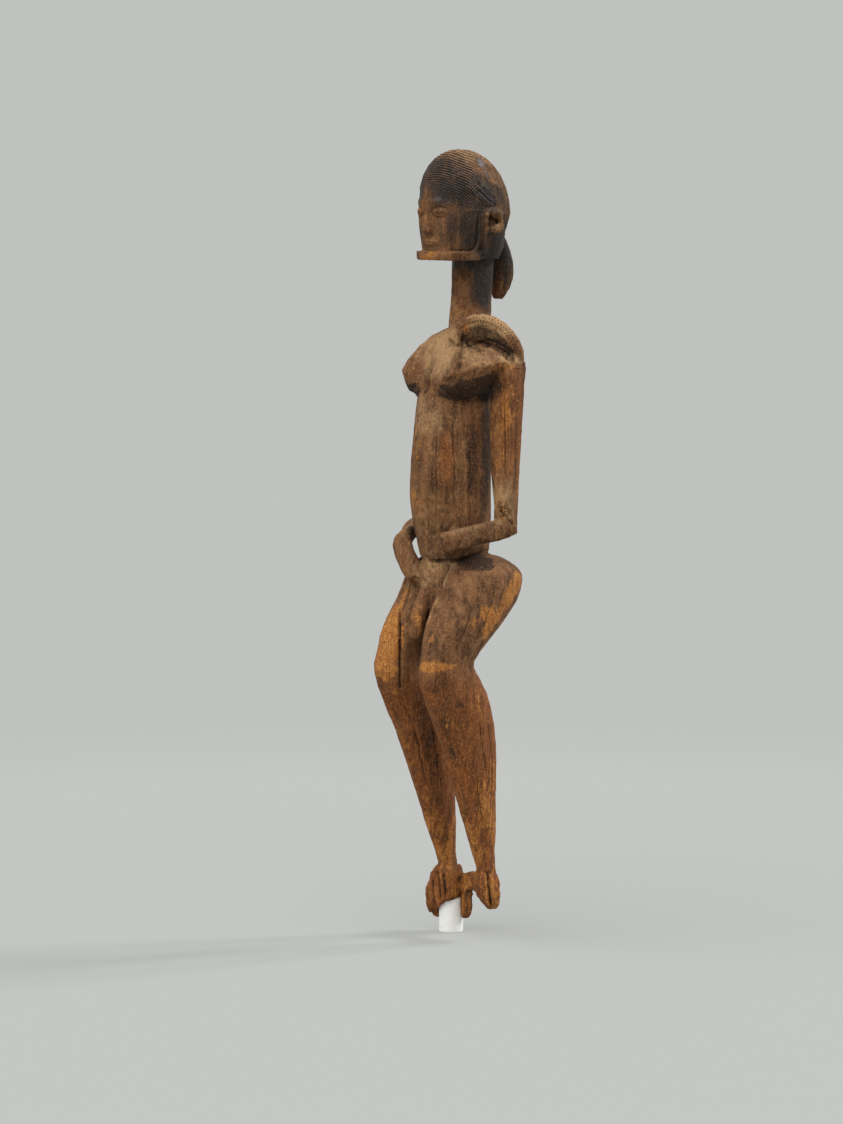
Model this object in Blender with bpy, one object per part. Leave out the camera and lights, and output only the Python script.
"""A carved wooden ancestor figure on its white display post, in metres with +Z up.

The figure is one piece of wood: lofted volumes joined into one solid, with the post's recess and
the pin's hole cut into the stub of its right foot. It lifts off a shouldered steel pin, which a
washer and a coupling nut hold in the post. The origin is the middle of the post's foot, and the
figure faces -Y, so that its left side is at +X.
"""

import math
from typing import NamedTuple

import bmesh
import bpy
from mathutils import Matrix, Vector

# Clearances
SEAT_GAP = 0.0003
RUNNING_GAP = 0.0003
RECESS_GAP = 0.0006

# Post, pin and hardware
POST_DIAMETER = 0.0314
POST_HEIGHT = 0.054
POST_EDGE = 0.0010
PIN_DIAMETER = 0.008
PIN_REACH = 0.034
PIN_TIP = 0.0015
PIN_THREAD = 0.012
COLLAR_DIAMETER = 0.018
COLLAR_THICKNESS = 0.003
NUT_FLATS = 0.013
NUT_LENGTH = 0.024
NUT_RECESS = 0.001
WASHER_DIAMETER = 0.0176
WASHER_THICKNESS = 0.0016
PAD_THICKNESS = 0.0015
PAD_MARGIN = 0.0012
SLEEVE_WALL = 0.0012

# Figure, lengths up the body
ANKLE_RISE = 0.031
SHIN_LENGTH = 0.270
THIGH_LENGTH = 0.136
TORSO_LENGTH = 0.208
BREAST_RISE = 0.026
SHOULDER_RISE = 0.046
COLLAR_RISE = 0.086
NECK_LENGTH = 0.082
HEAD_HEIGHT = 0.1385

# Figure, stance
ANKLE_SPREAD = 0.0405
ANKLE_SETBACK = 0.020
KNEE_SPREAD = 0.0465
KNEE_FORWARD = 0.048
HIP_SPREAD = 0.0365
POST_INSET = 0.002
POST_SETBACK = 0.004

# Figure, girths as half sizes
ANKLE_HALF = 0.0115
CALF_HALF_WIDTH = 0.0295
CALF_HALF_DEPTH = 0.0465
KNEE_HALF_WIDTH = 0.0285
KNEE_HALF_DEPTH = 0.0365
THIGH_HALF_WIDTH = 0.0425
THIGH_HALF_DEPTH = 0.0585
WAIST_HALF = 0.0430
BELLY_HALF = 0.0520
CHEST_HALF = 0.0470
RIM_TILT = 0.12
NECK_HALF = 0.0270
ARM_HALF = 0.0128
FOREARM_HALF = 0.0124

# Chest and shoulders
BREAST_SPREAD = 0.053
BREAST_FORWARD = 0.0485
CHEST_FORWARD = 0.040
CHEST_BACK = 0.055
SHOULDER_SPREAD = 0.094
SHOULDER_FRONT = -0.018
SHOULDER_BACK = 0.050
NECK_SETBACK = 0.0245
ELBOW_SPREAD = 0.0735
ELBOW_SETBACK = 0.0235
ELBOW_RISE = 0.040

# Head, hair and beard
HEAD_SETBACK = 0.017
HEAD_HALF_WIDTH = 0.0465
HEAD_FRONT = 0.064
HEAD_BACK = 0.059
JAW_HALF_WIDTH = 0.0365
JAW_FRONT = 0.052
JAW_BACK = 0.036
BEARD_HEIGHT = 0.0105
BEARD_PROUD = 0.0040
EAR_HEIGHT = 0.024
EAR_DEPTH = 0.022
PLAIT_LENGTH = 0.094
PLAIT_HALF = 0.0125

# Foot stubs
FOOT_WALL = 0.0058
FOOT_DROP = 0.016
LOBE_DROP = 0.039
LEFT_FOOT_DROP = 0.017

# Heights of the figure above the pad that it sits on
SEAT_HEIGHT = POST_HEIGHT + PAD_THICKNESS + 2 * SEAT_GAP
ANKLE_Z = ANKLE_RISE
KNEE_Z = ANKLE_Z + SHIN_LENGTH
WAIST_Z = KNEE_Z + THIGH_LENGTH
CHEST_Z = WAIST_Z + TORSO_LENGTH
BREAST_Z = CHEST_Z + BREAST_RISE
SHOULDER_Z = CHEST_Z + SHOULDER_RISE
COLLAR_Z = CHEST_Z + COLLAR_RISE
JAW_Z = COLLAR_Z + NECK_LENGTH
CROWN_Z = JAW_Z + HEAD_HEIGHT

# The post stands under the right ankle, so the figure's middle plane lies to its left
MIDDLE_X = ANKLE_SPREAD - POST_INSET
MIDDLE_Y = -ANKLE_SETBACK - POST_SETBACK

POST_RADIUS = POST_DIAMETER / 2
PIN_RADIUS = PIN_DIAMETER / 2
BORE_RADIUS = PIN_RADIUS + RUNNING_GAP
SLEEVE_RADIUS = BORE_RADIUS + SLEEVE_WALL
SLEEVE_LENGTH = PIN_REACH + 2 * SEAT_GAP
COLLAR_Z0 = POST_HEIGHT - COLLAR_THICKNESS - SEAT_GAP
COUNTERBORE_RADIUS = WASHER_DIAMETER / 2 + RECESS_GAP
COUNTERBORE_DEPTH = NUT_RECESS + NUT_LENGTH + WASHER_THICKNESS + 2 * SEAT_GAP

ROUND_SIDES = 32

# Which ring of the chest is its ridge, and which corner of a ring is the breast
RIDGE_LEVEL = 2
BREAST_CORNER = 2


class Section(NamedTuple):
    """A cross-section of a carved volume: its middle, half sizes and squareness.

    A power of 2 is an ellipse, a higher one is squarer and a lower one comes to a keel.
    """

    middle: Vector
    side: float
    front: float
    back: float
    power: float = 2.0
    across: Vector = Vector((1, 0, 0))
    aft: Vector = Vector((0, 1, 0))


def clear_scene():
    for found in list(bpy.data.objects):
        bpy.data.objects.remove(found, do_unlink=True)


def body(x, y, z):
    """A point of the figure, from its middle plane, in the frame of its seat on the post."""
    return Vector((x + MIDDLE_X, y + MIDDLE_Y, z))


def material(name, colour, roughness, metallic=0.0):
    made = bpy.data.materials.new(name)
    made.use_nodes = True
    shader = made.node_tree.nodes["Principled BSDF"]
    shader.inputs["Base Color"].default_value = (*colour, 1.0)
    shader.inputs["Roughness"].default_value = roughness
    shader.inputs["Metallic"].default_value = metallic
    made.diffuse_color = (*colour, 1.0)
    return made


def add_object(name, bm, finish=None, collection=None):
    """An object that holds this bmesh, with its faces turned outwards."""
    bmesh.ops.recalc_face_normals(bm, faces=bm.faces)
    mesh = bpy.data.meshes.new(name)
    bm.to_mesh(mesh)
    bm.free()
    made = bpy.data.objects.new(name, mesh)
    (collection or bpy.context.scene.collection).objects.link(made)
    if finish:
        mesh.materials.append(finish)
    return made


def shade(obj, angle=math.radians(40)):
    obj.data.shade_smooth()
    obj.data.set_sharp_from_angle(angle=angle)


def ring_points(section, count):
    """Points round a cross-section, by the superellipse formula."""
    points = []
    for i in range(count):
        angle = math.tau * i / count
        c, s = math.cos(angle), math.sin(angle)
        x = section.side * math.copysign(abs(c) ** (2 / section.power), c)
        depth = section.back if s > 0 else section.front
        y = depth * math.copysign(abs(s) ** (2 / section.power), s)
        points.append(section.middle + x * section.across + y * section.aft)
    return points


def eased(before, a, b, after, t):
    """A Catmull-Rom curve from a to b, for numbers and vectors alike."""
    slope_a, slope_b = (b - before) * 0.5, (after - a) * 0.5
    rise = b - a
    bend = rise * 3 - slope_a * 2 - slope_b
    twist = slope_a + slope_b - rise * 2
    return a + slope_a * t + bend * t**2 + twist * t**3


def smoothed(sections, steps):
    """The sections with steps - 1 more between each two, on smooth curves through them."""
    found = []
    last = len(sections) - 1
    for i in range(last):
        quad = [sections[max(i - 1, 0)], sections[i], sections[i + 1], sections[min(i + 2, last)]]
        for step in range(steps):
            found.append(Section(*(eased(*fields, step / steps) for fields in zip(*quad))))
    return found + [sections[-1]]


def bridge(bm, rings):
    """Closes rings of points into one skin with flat ends."""
    loops = [[bm.verts.new(p) for p in points] for points in rings]
    count = len(loops[0])
    for low, high in zip(loops, loops[1:]):
        for i in range(count):
            j = (i + 1) % count
            bm.faces.new((low[i], low[j], high[j], high[i]))
    bm.faces.new(loops[0][::-1])
    bm.faces.new(loops[-1])


def loft(name, sections, collection, count=20, steps=2):
    bm = bmesh.new()
    bridge(bm, [ring_points(s, count) for s in smoothed(sections, steps)])
    return add_object(name, bm, collection=collection)


def side_name(side):
    return "left" if side > 0 else "right"


def upright(x, y, z, side, front, back=None, power=2.0):
    """A level section, given from the figure's middle plane."""
    return Section(body(x, y, z), side, front, front if back is None else back, power)


def along(points, sizes, power):
    """Sections square to a path: sizes are (across, thickness) pairs."""
    found = []
    for i, (point, (side, thick)) in enumerate(zip(points, sizes)):
        ahead = points[min(i + 1, len(points) - 1)]
        behind = points[max(i - 1, 0)]
        forward = (ahead - behind).normalized()
        across = forward.cross(Vector((0, 0, 1))).normalized()
        aft = across.cross(forward).normalized()
        found.append(Section(point, side, thick, thick, power, across, aft))
    return found


def mirrored(x_sign, points):
    return [body(x_sign * x, y, z) for x, y, z in points]


def turned(name, profile, finish, sides=ROUND_SIDES):
    """A solid turned about Z from a closed profile of (radius, height) corners."""
    bm = bmesh.new()
    corners = [bm.verts.new((r, 0, z)) for r, z in profile]
    edges = [bm.edges.new((a, b)) for a, b in zip(corners, corners[1:] + corners[:1])]
    bmesh.ops.spin(
        bm, geom=corners + edges, axis=(0, 0, 1), cent=(0, 0, 0), angle=math.tau, steps=sides, use_merge=True
    )
    bmesh.ops.remove_doubles(bm, verts=bm.verts, dist=1e-6)
    made = add_object(name, bm, finish)
    shade(made)
    return made


# Carved volumes of the figure


def torso(collection):
    belly_z = WAIST_Z + TORSO_LENGTH * 0.46
    sections = [
        upright(0, 0.000, WAIST_Z - 0.006, WAIST_HALF * 0.80, WAIST_HALF * 0.80),
        upright(0, 0.000, WAIST_Z, WAIST_HALF * 0.98, WAIST_HALF * 0.98),
        upright(0, -0.002, WAIST_Z + 0.014, WAIST_HALF * 1.09, WAIST_HALF * 1.09),
        upright(0, -0.007, belly_z, BELLY_HALF, BELLY_HALF),
        upright(0, -0.004, (belly_z + CHEST_Z) / 2, BELLY_HALF * 0.97, BELLY_HALF * 0.97),
        upright(0, 0.000, CHEST_Z, CHEST_HALF, CHEST_HALF),
        upright(0, 0.008, CHEST_Z + BREAST_RISE, CHEST_HALF * 0.9, CHEST_HALF * 0.9),
    ]
    tilt = Vector((0, 1, RIM_TILT))
    sections[:3] = [s._replace(aft=tilt) for s in sections[:3]]
    return loft("volume_torso", sections, collection, count=26, steps=2)


def navel(collection):
    sections = [
        Section(body(0, -BELLY_HALF + 0.004, WAIST_Z + 0.052), 0.009, 0.011, 0.011),
        Section(body(0, -BELLY_HALF - 0.003, WAIST_Z + 0.051), 0.007, 0.0085, 0.0085),
        Section(body(0, -BELLY_HALF - 0.006, WAIST_Z + 0.050), 0.0035, 0.0045, 0.0045),
    ]
    faced = [s._replace(aft=Vector((0, 0, 1))) for s in sections]
    return loft("volume_navel", faced, collection, count=12, steps=1)


def chest_levels():
    """Half outlines of the chest, front middle to back middle, from its underside to the collar."""
    tip = (BREAST_SPREAD, -BREAST_FORWARD, BREAST_Z)
    outer = SHOULDER_SPREAD
    front, back = SHOULDER_FRONT, SHOULDER_BACK
    under = CHEST_Z - 0.004
    hidden = [
        (0, -0.030, under - 0.012),
        (0.020, -0.030, under - 0.012),
        (0.034, -0.024, under - 0.012),
        (0.040, -0.006, under - 0.010),
        (0.040, 0.010, under - 0.006),
        (0.040, 0.022, under - 0.006),
        (0.036, 0.032, under - 0.010),
        (0.020, 0.042, under - 0.016),
        (0, 0.044, under - 0.016),
    ]
    bowl = [
        (0, -CHEST_FORWARD - 0.004, under + 0.010),
        (0.022, -CHEST_FORWARD - 0.010, under + 0.002),
        (0.049, -BREAST_FORWARD + 0.008, under + 0.001),
        (0.062, -0.022, under + 0.004),
        (0.072, 0.000, under + 0.020),
        (0.078, 0.022, under + 0.026),
        (0.066, 0.042, under + 0.020),
        (0.034, 0.052, under + 0.006),
        (0, 0.054, under + 0.004),
    ]
    ridge = [
        (0, -CHEST_FORWARD, BREAST_Z - 0.004),
        (0.026, -CHEST_FORWARD - 0.006, BREAST_Z - 0.002),
        tip,
        (0.068, -0.028, BREAST_Z + 0.004),
        (outer - 0.012, front + 0.018, SHOULDER_Z - 0.007),
        (outer, front + 0.042, SHOULDER_Z),
        (outer - 0.004, back, SHOULDER_Z - 0.002),
        (0.044, CHEST_BACK + 0.004, SHOULDER_Z - 0.010),
        (0, CHEST_BACK, SHOULDER_Z - 0.014),
    ]
    slope_z = (SHOULDER_Z + COLLAR_Z) / 2
    slope = [
        (0, -0.025, slope_z - 0.004),
        (0.024, -0.029, slope_z - 0.006),
        (0.046, -0.028, slope_z - 0.008),
        (0.058, -0.010, slope_z - 0.010),
        (0.066, 0.010, slope_z - 0.008),
        (0.068, 0.028, slope_z - 0.006),
        (0.058, 0.044, slope_z - 0.004),
        (0.032, 0.056, slope_z),
        (0, 0.058, slope_z),
    ]
    base = NECK_SETBACK
    collar = [
        (0, base - 0.028, COLLAR_Z),
        (0.011, base - 0.027, COLLAR_Z),
        (0.021, base - 0.021, COLLAR_Z),
        (0.028, base - 0.010, COLLAR_Z),
        (0.031, base + 0.002, COLLAR_Z),
        (0.029, base + 0.013, COLLAR_Z),
        (0.022, base + 0.022, COLLAR_Z),
        (0.011, base + 0.027, COLLAR_Z),
        (0, base + 0.028, COLLAR_Z),
    ]
    return [hidden, bowl, ridge, slope, collar]


def chest(collection):
    """The chest and shoulders: a faceted block whose ridge runs from breast to shoulder."""
    rings = []
    for half in chest_levels():
        left = [body(x, y, z) for x, y, z in half]
        right = [body(-x, y, z) for x, y, z in half[-2:0:-1]]
        rings.append(left + right)
    bm = bmesh.new()
    bridge(bm, rings)
    bm.verts.index_update()
    around = len(rings[0])
    crease = bm.edges.layers.float.new("crease_edge")
    for edge in bm.edges:
        ends = [vert.index for vert in edge.verts]
        if all(end // around == RIDGE_LEVEL for end in ends):
            edge[crease] = 0.55
        elif all(end % around in (BREAST_CORNER, around - BREAST_CORNER) for end in ends):
            edge[crease] = 0.35
    made = add_object("volume_chest", bm, collection=collection)
    subdivision = made.modifiers.new("soften", "SUBSURF")
    subdivision.levels = subdivision.render_levels = 1
    return made


def shoulder_arch(collection):
    """The pecked arch that hooks over the left shoulder, from collar to shoulder blade."""
    points = mirrored(
        1,
        [
            (0.028, -0.021, SHOULDER_Z + 0.016),
            (0.031, -0.013, SHOULDER_Z + 0.027),
            (0.041, 0.001, SHOULDER_Z + 0.034),
            (0.054, 0.015, SHOULDER_Z + 0.032),
            (0.068, 0.028, SHOULDER_Z + 0.020),
            (0.077, 0.036, SHOULDER_Z + 0.003),
            (0.079, 0.038, SHOULDER_Z - 0.014),
        ],
    )
    halves = (0.0120, 0.0140, 0.0148, 0.0150, 0.0142, 0.0120, 0.0090)
    sizes = [(half, half) for half in halves]
    return loft("volume_shoulder_arch", along(points, sizes, 3.2), collection, count=16, steps=2)


def upper_arm(side, collection):
    """A square upper arm that thickens towards the shoulder."""
    elbow_z = WAIST_Z + ELBOW_RISE
    stations = [
        (SHOULDER_SPREAD, SHOULDER_BACK - 0.006, SHOULDER_Z - 0.001, 0.80),
        (SHOULDER_SPREAD, SHOULDER_BACK - 0.005, SHOULDER_Z - 0.014, 1.26),
        (SHOULDER_SPREAD - 0.002, SHOULDER_BACK - 0.007, SHOULDER_Z - 0.040, 1.22),
        (ELBOW_SPREAD + ARM_HALF + 0.003, ELBOW_SETBACK + ARM_HALF + 0.002, elbow_z + 0.080, 1.07),
        (ELBOW_SPREAD + ARM_HALF, ELBOW_SETBACK + ARM_HALF, elbow_z - 0.010, 1.0),
    ]
    sections = []
    for outer_x, outer_y, z, share in stations:
        half = ARM_HALF * share
        sections.append(upright(side * (outer_x - half), outer_y - half, z, half, half, power=4.5))
    return loft(f"volume_upper_arm_{side_name(side)}", sections, collection, count=16, steps=2)


def left_forearm(collection):
    points = mirrored(
        1,
        [
            (ELBOW_SPREAD + 0.004, ELBOW_SETBACK + 0.011, WAIST_Z + ELBOW_RISE + 0.000),
            (ELBOW_SPREAD - 0.005, ELBOW_SETBACK - 0.014, WAIST_Z + ELBOW_RISE - 0.006),
            (0.057, -0.020, WAIST_Z + 0.028),
            (0.044, -0.043, WAIST_Z + 0.022),
            (0.038, -0.052, WAIST_Z + 0.020),
        ],
    )
    half = FOREARM_HALF
    shares = ((1.0, 0.9), (1.0, 1.1), (0.98, 1.05), (0.9, 1.02), (0.8, 1.0))
    sizes = [(half * across, half * thick) for across, thick in shares]
    return loft("volume_left_forearm", along(points, sizes, 3.0), collection, count=16, steps=2)


def right_forearm(collection):
    """The right forearm stands off the belly, and its hand comes down to the groin."""
    points = mirrored(
        -1,
        [
            (ELBOW_SPREAD + 0.003, ELBOW_SETBACK + 0.011, WAIST_Z + ELBOW_RISE),
            (ELBOW_SPREAD - 0.002, ELBOW_SETBACK - 0.012, WAIST_Z + ELBOW_RISE - 0.006),
            (0.066, -0.024, WAIST_Z + 0.028),
            (0.058, -0.040, WAIST_Z + 0.010),
            (0.039, -0.043, WAIST_Z - 0.012),
            (0.023, -0.042, WAIST_Z - 0.030),
            (0.015, -0.038, WAIST_Z - 0.040),
        ],
    )
    half = FOREARM_HALF
    shares = ((1.0, 1.0), (1.0, 1.0), (1.0, 1.0), (1.05, 1.05), (1.0, 1.0), (1.0, 0.8), (0.9, 0.6))
    sizes = [(half * across, half * thick) for across, thick in shares]
    return loft("volume_right_forearm", along(points, sizes, 3.0), collection, count=16, steps=2)


def leg(side, collection):
    """One leg from hip to ankle: buttock, thigh, bent knee and keeled shin."""
    thigh_z, shin_z = THIGH_LENGTH, SHIN_LENGTH
    calf, calf_deep = CALF_HALF_WIDTH, CALF_HALF_DEPTH
    knee, knee_deep = KNEE_HALF_WIDTH, KNEE_HALF_DEPTH
    ankle = ANKLE_HALF
    across = THIGH_HALF_WIDTH
    deep = THIGH_HALF_DEPTH

    def level(spread, aft, z, half_width, half_depth, power):
        return upright(side * spread, aft, z, half_width, half_depth, power=power)

    sections = [
        level(HIP_SPREAD - 0.008, 0.010, WAIST_Z + 0.004, across * 0.22, deep * 0.22, 2.0),
        level(HIP_SPREAD - 0.005, 0.012, WAIST_Z - 0.001, across * 0.52, deep * 0.52, 2.0),
        level(HIP_SPREAD - 0.003, 0.014, WAIST_Z - 0.009, across * 0.76, deep * 0.74, 2.1),
        level(HIP_SPREAD - 0.001, 0.015, WAIST_Z - 0.018, across * 0.91, deep * 0.89, 2.2),
        level(HIP_SPREAD, 0.014, WAIST_Z - 0.032, across, deep * 0.97, 2.2),
        level(HIP_SPREAD + 0.002, 0.003, KNEE_Z + thigh_z * 0.58, across, deep * 0.975, 2.2),
        level(HIP_SPREAD + 0.005, -0.016, KNEE_Z + thigh_z * 0.40, across * 0.92, deep * 0.905, 2.2),
        level(KNEE_SPREAD - 0.002, -0.034, KNEE_Z + thigh_z * 0.22, across * 0.80, deep * 0.77, 2.2),
        level(KNEE_SPREAD, -KNEE_FORWARD, KNEE_Z + 0.006, knee, knee_deep, 2.2),
        level(KNEE_SPREAD, -KNEE_FORWARD, KNEE_Z - 0.010, knee, knee_deep * 1.14, 2.1),
        level(KNEE_SPREAD - 0.0005, -0.0365, KNEE_Z - shin_z * 0.13, calf, calf_deep, 2.0),
        level(KNEE_SPREAD - 0.002, -0.0194, KNEE_Z - shin_z * 0.29, calf * 0.98, calf_deep * 0.96, 1.9),
        level(KNEE_SPREAD - 0.003, -0.0074, KNEE_Z - shin_z * 0.46, calf * 0.84, calf_deep * 0.80, 1.9),
        level(ANKLE_SPREAD + 0.002, 0.0014, KNEE_Z - shin_z * 0.64, calf * 0.68, calf_deep * 0.62, 1.9),
        level(ANKLE_SPREAD + 0.001, 0.0098, KNEE_Z - shin_z * 0.80, calf * 0.53, calf_deep * 0.48, 1.9),
        level(ANKLE_SPREAD, ANKLE_SETBACK - 0.005, ANKLE_Z + 0.026, ankle * 1.10, ankle * 1.42, 2.0),
        level(ANKLE_SPREAD, ANKLE_SETBACK, ANKLE_Z, ankle, ankle * 1.10, 2.2),
        level(ANKLE_SPREAD, ANKLE_SETBACK, ANKLE_Z - 0.012, ankle, ankle * 1.10, 2.2),
    ]
    return loft(f"volume_leg_{side_name(side)}", sections, collection, count=20, steps=2)


def pelvis(collection):
    sections = [
        upright(0, 0.000, WAIST_Z + 0.006, WAIST_HALF * 0.90, WAIST_HALF * 0.90),
        upright(0, -0.001, WAIST_Z - 0.008, WAIST_HALF * 0.98, WAIST_HALF * 0.99),
        upright(0, -0.006, WAIST_Z - 0.030, WAIST_HALF * 0.86, 0.040, 0.040, 2.2),
        upright(0, -0.014, WAIST_Z - 0.052, WAIST_HALF * 0.55, 0.036, 0.030, 2.2),
        upright(0, -0.022, WAIST_Z - 0.070, WAIST_HALF * 0.34, 0.028, 0.020, 2.2),
    ]
    return loft("volume_pelvis", sections, collection, count=20, steps=2)


def groin_relief(collection):
    points = mirrored(
        1,
        [
            (0, -0.030, WAIST_Z - 0.022),
            (0, -0.044, WAIST_Z - 0.040),
            (0, -0.054, WAIST_Z - 0.068),
            (0, -0.062, WAIST_Z - 0.096),
            (0, -0.063, WAIST_Z - 0.104),
        ],
    )
    sections = [
        Section(p, half, half, half, 2.2) for p, half in zip(points, (0.010, 0.009, 0.0082, 0.0078, 0.0045))
    ]
    return loft("volume_groin_relief", sections, collection, count=12, steps=2)


def neck(collection):
    sections = [
        upright(0, NECK_SETBACK - 0.001, COLLAR_Z - 0.016, NECK_HALF * 1.05, NECK_HALF * 1.05),
        upright(0, NECK_SETBACK, COLLAR_Z + 0.010, NECK_HALF, NECK_HALF),
        upright(0, NECK_SETBACK + 0.003, COLLAR_Z + NECK_LENGTH * 0.6, NECK_HALF * 0.97, NECK_HALF * 0.97),
        upright(0, NECK_SETBACK + 0.004, JAW_Z + 0.012, NECK_HALF, NECK_HALF),
    ]
    return loft("volume_neck", sections, collection, count=22, steps=2)


def head(collection):
    """The long head: a flat-sided jaw that rises into a domed cranium."""
    y, tall = HEAD_SETBACK, HEAD_HEIGHT
    wide, front, back = HEAD_HALF_WIDTH, HEAD_FRONT, HEAD_BACK
    dome_z = JAW_Z + tall * 0.50
    sections = [
        upright(0, y, JAW_Z, JAW_HALF_WIDTH, JAW_FRONT, JAW_BACK, 3.4),
        upright(0, y, JAW_Z + tall * 0.10, JAW_HALF_WIDTH + 0.003, JAW_FRONT + 0.003, JAW_BACK + 0.008, 3.2),
        upright(0, y, JAW_Z + tall * 0.26, wide * 0.94, front - 0.005, back - 0.012, 2.9),
        upright(0, y, JAW_Z + tall * 0.42, wide, front - 0.002, back - 0.003, 2.6),
    ]
    rise = CROWN_Z - dome_z
    for degrees in (4, 18, 32, 45, 57, 68, 78, 86):
        angle = math.radians(degrees)
        shrink = math.cos(angle) ** 0.95
        sections.append(
            upright(
                0,
                y - 0.009 * math.sin(angle),
                dome_z + rise * math.sin(angle),
                wide * shrink,
                (front - 0.001) * shrink,
                back * shrink,
                2.15,
            )
        )
    return loft("volume_head", sections, collection, count=28, steps=1)


def beard(collection):
    """The plank beard that runs round the chin to the corners of the jaw."""
    low, high = JAW_Z - 0.001, JAW_Z + BEARD_HEIGHT
    corner_y = 0.006
    front = JAW_FRONT - HEAD_SETBACK + corner_y + BEARD_PROUD + 0.002
    sections = [
        upright(0, corner_y, low, JAW_HALF_WIDTH + BEARD_PROUD, front, 0.010, 4.5),
        upright(0, corner_y, high, JAW_HALF_WIDTH + BEARD_PROUD + 0.001, front, 0.010, 4.5),
    ]
    return loft("volume_beard", sections, collection, count=28, steps=1)


def beard_strap(side, collection):
    """The narrow strap that climbs from the beard's corner to the ear."""
    x0, x1 = JAW_HALF_WIDTH + 0.0015, HEAD_HALF_WIDTH + 0.0005
    points = mirrored(
        side,
        [
            (x0, 0.0155, JAW_Z + 0.004),
            (x0 + 0.003, 0.0135, JAW_Z + HEAD_HEIGHT * 0.12),
            (x1 - 0.001, 0.0105, JAW_Z + HEAD_HEIGHT * 0.26),
            (x1 + 0.0005, 0.0095, JAW_Z + HEAD_HEIGHT * 0.42),
        ],
    )
    sections = [Section(p, BEARD_PROUD, 0.0042, 0.0042, 4.0) for p in points]
    return loft(f"volume_beard_strap_{side_name(side)}", sections, collection, count=12, steps=1)


def ear(side, collection):
    """A C-shaped ear, open towards the face."""
    middle_y, middle_z = HEAD_SETBACK + 0.010, JAW_Z + HEAD_HEIGHT * 0.345
    x = HEAD_HALF_WIDTH + 0.001
    points = []
    sizes = []
    for i in range(9):
        angle = math.radians(140 - 35 * i)
        y = middle_y + (EAR_DEPTH / 2 - 0.003) * math.cos(angle)
        z = middle_z + (EAR_HEIGHT / 2 - 0.003) * math.sin(angle)
        points.append(body(side * x, y, z))
        sizes.append(0.0032 + 0.0012 * (i / 8))
    outward = Vector((side, 0, 0))
    sections = []
    for i, (point, half) in enumerate(zip(points, sizes)):
        forward = (points[min(i + 1, 8)] - points[max(i - 1, 0)]).normalized()
        sections.append(Section(point, half, 0.0055, 0.0055, 2.4, forward.cross(outward), outward))
    return loft(f"volume_ear_{side_name(side)}", sections, collection, count=10, steps=1)


def plait(collection):
    """The plait of hair that hangs clear of the nape."""
    top = JAW_Z + 0.042
    half = PLAIT_HALF
    length = PLAIT_LENGTH
    sections = [
        upright(0, HEAD_SETBACK + 0.038, top, half * 0.9, half * 0.8),
        upright(0, HEAD_SETBACK + 0.052, top - length * 0.20, half, half * 0.85),
        upright(0, HEAD_SETBACK + 0.061, top - length * 0.50, half * 1.05, half * 0.95, power=2.3),
        upright(0, HEAD_SETBACK + 0.061, top - length * 0.74, half, half * 0.95, power=2.3),
        upright(0, HEAD_SETBACK + 0.056, top - length * 0.93, half * 0.70, half * 0.55, power=2.3),
        upright(0, HEAD_SETBACK + 0.054, top - length, half * 0.42, half * 0.28, power=2.3),
    ]
    return loft("volume_plait", sections, collection, count=16, steps=2)


def face_front(z_share):
    """How far forward the bare face lies at a share of the head's height."""
    return HEAD_FRONT - HEAD_SETBACK - 0.002 if z_share > 0.4 else HEAD_FRONT - HEAD_SETBACK - 0.006


def nose(collection):
    """A plain straight nose, a third of the face long."""
    top_z, base_z = JAW_Z + HEAD_HEIGHT * 0.48, JAW_Z + HEAD_HEIGHT * 0.25
    sections = [
        upright(0, -face_front(0.5) + 0.004, top_z, 0.0035, 0.0050, 0.006),
        upright(0, -face_front(0.5) + 0.003, (top_z + base_z) / 2, 0.0050, 0.0070, 0.006),
        upright(0, -face_front(0.5) + 0.003, base_z + 0.004, 0.0085, 0.0095, 0.006),
        upright(0, -face_front(0.5) + 0.003, base_z, 0.0075, 0.0075, 0.006),
    ]
    return loft("volume_nose", sections, collection, count=12, steps=1)


def lips(collection):
    z = JAW_Z + HEAD_HEIGHT * 0.165
    sections = [
        upright(0, -face_front(0.2) + 0.004, z - 0.0045, 0.0110, 0.0045, 0.006, 2.4),
        upright(0, -face_front(0.2) + 0.004, z, 0.0155, 0.0085, 0.006, 2.4),
        upright(0, -face_front(0.2) + 0.004, z + 0.0045, 0.0110, 0.0045, 0.006, 2.4),
    ]
    return loft("volume_lips", sections, collection, count=16, steps=1)


def eye(side, collection):
    """A low almond of an eye, level with the middle of the head."""
    middle = body(side * 0.0205, -face_front(0.5) + 0.006, JAW_Z + HEAD_HEIGHT * 0.435)
    outward = Vector((side * 0.45, -1, 0)).normalized()
    across = outward.cross(Vector((0, 0, 1)))
    sections = []
    for share, height in ((1.0, -0.004), (0.92, 0.0015), (0.66, 0.0032), (0.25, 0.0040)):
        long, tall = 0.0105 * share, 0.0052 * share
        sections.append(Section(middle + outward * height, long, tall, tall, 1.7, across, Vector((0, 0, 1))))
    return loft(f"volume_eye_{side_name(side)}", sections, collection, count=12, steps=1)


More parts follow.
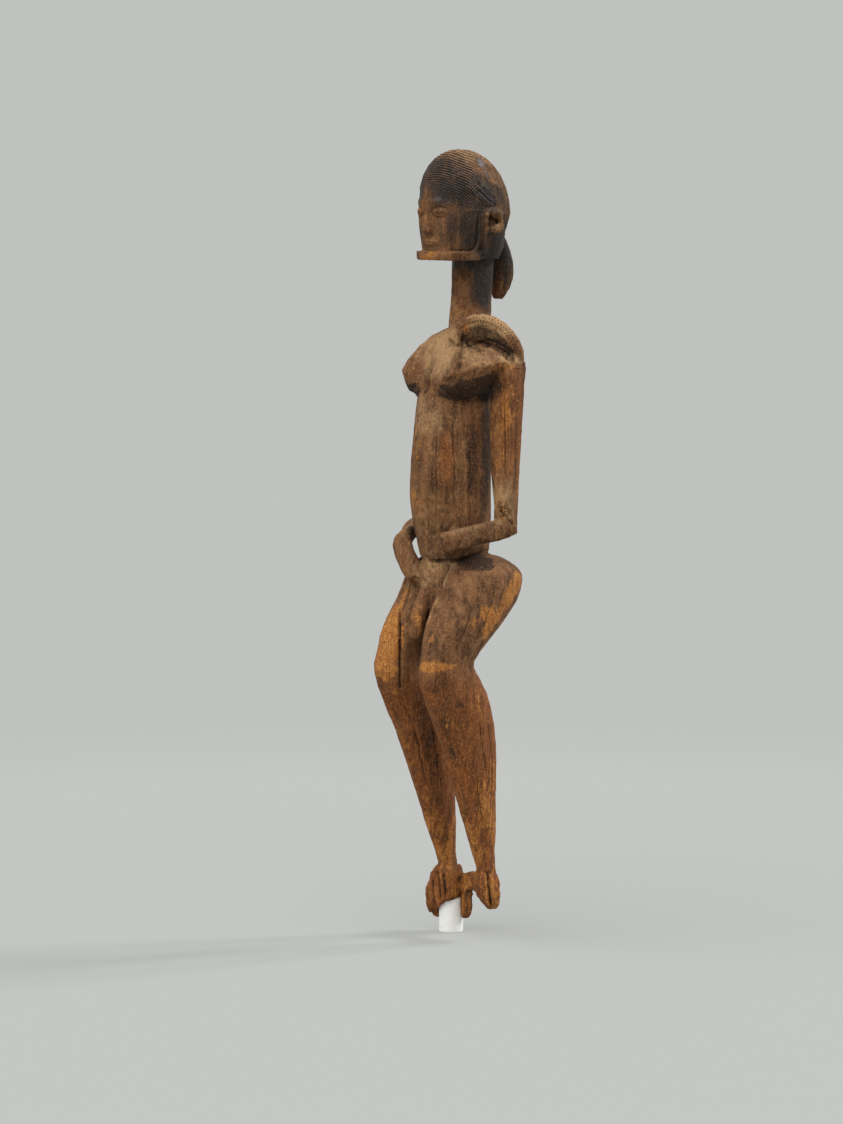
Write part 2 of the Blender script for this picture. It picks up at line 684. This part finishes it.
def right_foot(collection):
    """The worn stub of the right foot, hollowed underneath for the post."""
    wall = POST_RADIUS + RECESS_GAP + FOOT_WALL
    drop = FOOT_DROP

    def level(x, y, z, side, depth, power=3.0):
        return Section(Vector((x, y, z)), side, depth, depth, power)

    sections = [
        level(-0.003, -0.002, -drop, wall * 0.94, wall * 0.88),
        level(-0.004, -0.002, -drop * 0.4, wall * 1.02, wall * 0.98),
        level(-0.004, -0.003, ANKLE_Z * 0.45, wall, wall * 0.92),
        level(-0.003, -0.004, ANKLE_Z * 0.80, wall * 0.84, wall * 0.76, 2.6),
        level(-0.002, -0.004, ANKLE_Z * 0.98, ANKLE_HALF * 1.25, ANKLE_HALF * 1.25, 2.2),
    ]
    return loft("volume_right_foot", sections, collection, count=22, steps=2)


def right_foot_lobe(collection):
    """The outer edge of the right foot, which hangs lowest beside the post."""
    reach = POST_RADIUS + RECESS_GAP + FOOT_WALL * 0.35
    x, y = -reach * math.cos(math.radians(34)), -reach * math.sin(math.radians(34))
    sections = [
        Section(Vector((x * 0.97, y, -LOBE_DROP)), 0.0042, 0.0050, 0.0050, 2.4),
        Section(Vector((x * 1.02, y * 1.02, -LOBE_DROP * 0.8)), 0.0066, 0.0085, 0.0085, 2.4),
        Section(Vector((x * 1.04, y * 1.02, -LOBE_DROP * 0.45)), 0.0072, 0.0110, 0.0110, 2.4),
        Section(Vector((x, y, 0.004)), 0.0070, 0.0100, 0.0100, 2.4),
    ]
    return loft("volume_right_foot_lobe", sections, collection, count=14, steps=2)


def base_web(collection):
    """What is left of the base between the feet: a plate with an arched top edge."""
    x0 = POST_RADIUS + RECESS_GAP
    x1 = 2 * ANKLE_SPREAD - POST_INSET
    thick = 0.0075
    middle_y = 0.010
    outline = [
        (x0 - 0.004, ANKLE_Z * 0.55),
        (x0 - 0.004, -LOBE_DROP * 0.55),
        (x0 + 0.000, -LOBE_DROP),
        (x0 + 0.005, -LOBE_DROP * 0.98),
        (x0 + 0.007, -LOBE_DROP * 0.78),
        (x0 + 0.009, -LOBE_DROP * 0.25),
        (x0 + 0.019, LEFT_FOOT_DROP * 0.18),
        (x1, -LEFT_FOOT_DROP * 0.20),
        (x1, ANKLE_Z * 0.50),
        (x1 - 0.018, ANKLE_Z * 0.66),
        (x0 + 0.014, ANKLE_Z * 0.78),
        (x0 + 0.004, ANKLE_Z * 0.70),
    ]
    bm = bmesh.new()
    rings = []
    for y, inset in ((-thick, 0.86), (-thick * 0.6, 1.0), (thick * 0.6, 1.0), (thick, 0.86)):
        rings.append([inset_point(p, outline, inset, middle_y + y) for p in outline])
    bridge(bm, rings)
    return add_object("volume_base_web", bm, collection=collection)


def inset_point(point, outline, share, y):
    """A corner of an upright outline, drawn towards the outline's middle."""
    mid_x = sum(x for x, _ in outline) / len(outline)
    mid_z = sum(z for _, z in outline) / len(outline)
    return Vector((mid_x + (point[0] - mid_x) * share, y, mid_z + (point[1] - mid_z) * share))


def left_foot(collection):
    """The stub of the left foot, which ends clear of the floor."""
    x, y = 2 * ANKLE_SPREAD - POST_INSET - 0.001, -POST_SETBACK - 0.001

    def level(shift, aft, z, side, depth, power=2.6):
        return Section(Vector((x + shift, y + aft, z)), side, depth, depth, power)

    drop = LEFT_FOOT_DROP
    sections = [
        level(0.006, 0.006, -drop, 0.0055, 0.0050),
        level(0.005, 0.005, -drop * 0.72, 0.0105, 0.0092),
        level(0.003, 0.003, -drop * 0.1, 0.0145, 0.0130),
        level(0.001, 0.001, ANKLE_Z * 0.45, 0.0158, 0.0145),
        level(0.0005, 0.000, ANKLE_Z * 0.80, 0.0145, 0.0140),
        level(0.000, 0.000, ANKLE_Z * 1.02, ANKLE_HALF * 1.05, ANKLE_HALF * 1.10),
    ]
    return loft("volume_left_foot", sections, collection, count=16, steps=2)


def cutter(name, radius, z0, z1, collection):
    bm = bmesh.new()
    place = Matrix.Translation((0, 0, (z0 + z1) / 2))
    bmesh.ops.create_cone(
        bm, cap_ends=True, segments=ROUND_SIDES, radius1=radius, radius2=radius, depth=z1 - z0, matrix=place
    )
    return add_object(name, bm, collection=collection)


def helper_collection(name):
    made = bpy.data.collections.new(name)
    bpy.context.scene.collection.children.link(made)
    return made


def carved_figure(finish):
    """The whole carving: the torso with every other volume joined on and the seat cut out."""
    volumes = helper_collection("carving_volumes")
    cuts = helper_collection("carving_cuts")
    figure = torso(bpy.context.scene.collection)
    figure.name = figure.data.name = "carved_figure"
    figure.data.materials.append(finish)

    for make in (pelvis, chest, neck, head, beard, plait, nose, lips, navel, groin_relief):
        make(volumes)
    for make in (shoulder_arch, left_forearm, right_forearm, right_foot, right_foot_lobe, base_web):
        make(volumes)
    left_foot(volumes)
    for make in (leg, upper_arm, ear, eye, beard_strap):
        for side in (1, -1):
            make(side, volumes)

    cutter("cut_post_recess", POST_RADIUS + RECESS_GAP, -POST_HEIGHT, 0.0, cuts)
    cutter("cut_sleeve_hole", SLEEVE_RADIUS + SEAT_GAP, -0.004, SLEEVE_LENGTH + 2 * SEAT_GAP, cuts)

    for label, operation, operands in (("join", "UNION", volumes), ("cut", "DIFFERENCE", cuts)):
        boolean = figure.modifiers.new(label, "BOOLEAN")
        boolean.operation = operation
        boolean.solver = "EXACT"
        boolean.operand_type = "COLLECTION"
        boolean.collection = operands

    for obj in (figure, *volumes.objects, *cuts.objects):
        obj.location.z = SEAT_HEIGHT
    for obj in (*volumes.objects, *cuts.objects):
        obj.hide_render = True
        obj.display_type = "WIRE"
    shade(figure)
    return figure


# The post and its hardware


def support_post(finish):
    r, edge = POST_RADIUS, POST_EDGE
    top_bore = COLLAR_DIAMETER / 2 + RECESS_GAP
    floor = COLLAR_Z0 - SEAT_GAP
    profile = [
        (COUNTERBORE_RADIUS, 0),
        (r - edge, 0),
        (r - edge * 0.3, edge * 0.3),
        (r, edge),
        (r, POST_HEIGHT - edge),
        (r - edge, POST_HEIGHT),
        (top_bore, POST_HEIGHT),
        (top_bore, floor),
        (BORE_RADIUS, floor),
        (BORE_RADIUS, COUNTERBORE_DEPTH),
        (COUNTERBORE_RADIUS, COUNTERBORE_DEPTH),
    ]
    return turned("support_post", profile, finish, sides=48)


def shouldered_pin(finish):
    """The pin: its collar bears on the post, its top enters the figure, its foot takes the nut."""
    top = SEAT_HEIGHT + PIN_REACH
    foot = NUT_RECESS + NUT_LENGTH - PIN_THREAD
    collar = COLLAR_DIAMETER / 2
    profile = [
        (0, foot),
        (PIN_RADIUS - PIN_TIP * 0.5, foot),
        (PIN_RADIUS, foot + PIN_TIP * 0.5),
        (PIN_RADIUS, COLLAR_Z0),
        (collar, COLLAR_Z0),
        (collar, COLLAR_Z0 + COLLAR_THICKNESS),
        (PIN_RADIUS, COLLAR_Z0 + COLLAR_THICKNESS),
        (PIN_RADIUS, top - PIN_TIP),
        (PIN_RADIUS - PIN_TIP, top),
        (0, top),
    ]
    return turned("shouldered_pin", profile, finish)


def ring_profile(inner, outer, z0, z1):
    return [(inner, z0), (outer, z0), (outer, z1), (inner, z1)]


def pin_sleeve(finish):
    z0 = SEAT_HEIGHT + SEAT_GAP
    return turned("pin_sleeve", ring_profile(BORE_RADIUS, SLEEVE_RADIUS, z0, z0 + SLEEVE_LENGTH), finish)


def rest_pad(finish):
    z0 = POST_HEIGHT + SEAT_GAP
    outer = POST_RADIUS - PAD_MARGIN
    return turned("rest_pad", ring_profile(BORE_RADIUS + RECESS_GAP, outer, z0, z0 + PAD_THICKNESS), finish)


def pin_washer(finish):
    z1 = COUNTERBORE_DEPTH - SEAT_GAP
    profile = ring_profile(BORE_RADIUS, WASHER_DIAMETER / 2, z1 - WASHER_THICKNESS, z1)
    return turned("pin_washer", profile, finish)


def coupling_nut(finish):
    """A long hexagon nut: the pin fills its upper half and a plinth bolt its lower half."""
    z0, z1 = NUT_RECESS, NUT_RECESS + NUT_LENGTH
    corner = NUT_FLATS / math.sqrt(3)
    bm = bmesh.new()
    count = 24
    loops = []
    for z in (z0, z1):
        outer, inner = [], []
        for i in range(count):
            angle = math.tau * i / count
            turn = (angle + math.pi / 6) % (math.pi / 3) - math.pi / 6
            reach = corner * math.cos(math.pi / 6) / math.cos(turn)
            outer.append(bm.verts.new((reach * math.cos(angle), reach * math.sin(angle), z)))
            inner.append(bm.verts.new((BORE_RADIUS * math.cos(angle), BORE_RADIUS * math.sin(angle), z)))
        loops.append((outer, inner))
    (outer0, inner0), (outer1, inner1) = loops
    for low, high in ((outer0, outer1), (inner1, inner0), (inner0, outer0), (outer1, inner1)):
        for i in range(count):
            j = (i + 1) % count
            bm.faces.new((low[i], low[j], high[j], high[i]))
    made = add_object("coupling_nut", bm, finish)
    shade(made)
    return made


def main():
    clear_scene()
    wood = material("old_wood", (0.13, 0.065, 0.032), 0.72)
    white = material("white_paint", (0.82, 0.82, 0.80), 0.6)
    steel = material("steel", (0.55, 0.56, 0.58), 0.35, 1.0)
    brass = material("brass", (0.70, 0.52, 0.24), 0.35, 1.0)
    felt = material("felt", (0.30, 0.30, 0.29), 0.95)

    carved_figure(wood)
    support_post(white)
    shouldered_pin(steel)
    pin_sleeve(brass)
    rest_pad(felt)
    pin_washer(steel)
    coupling_nut(steel)


main()
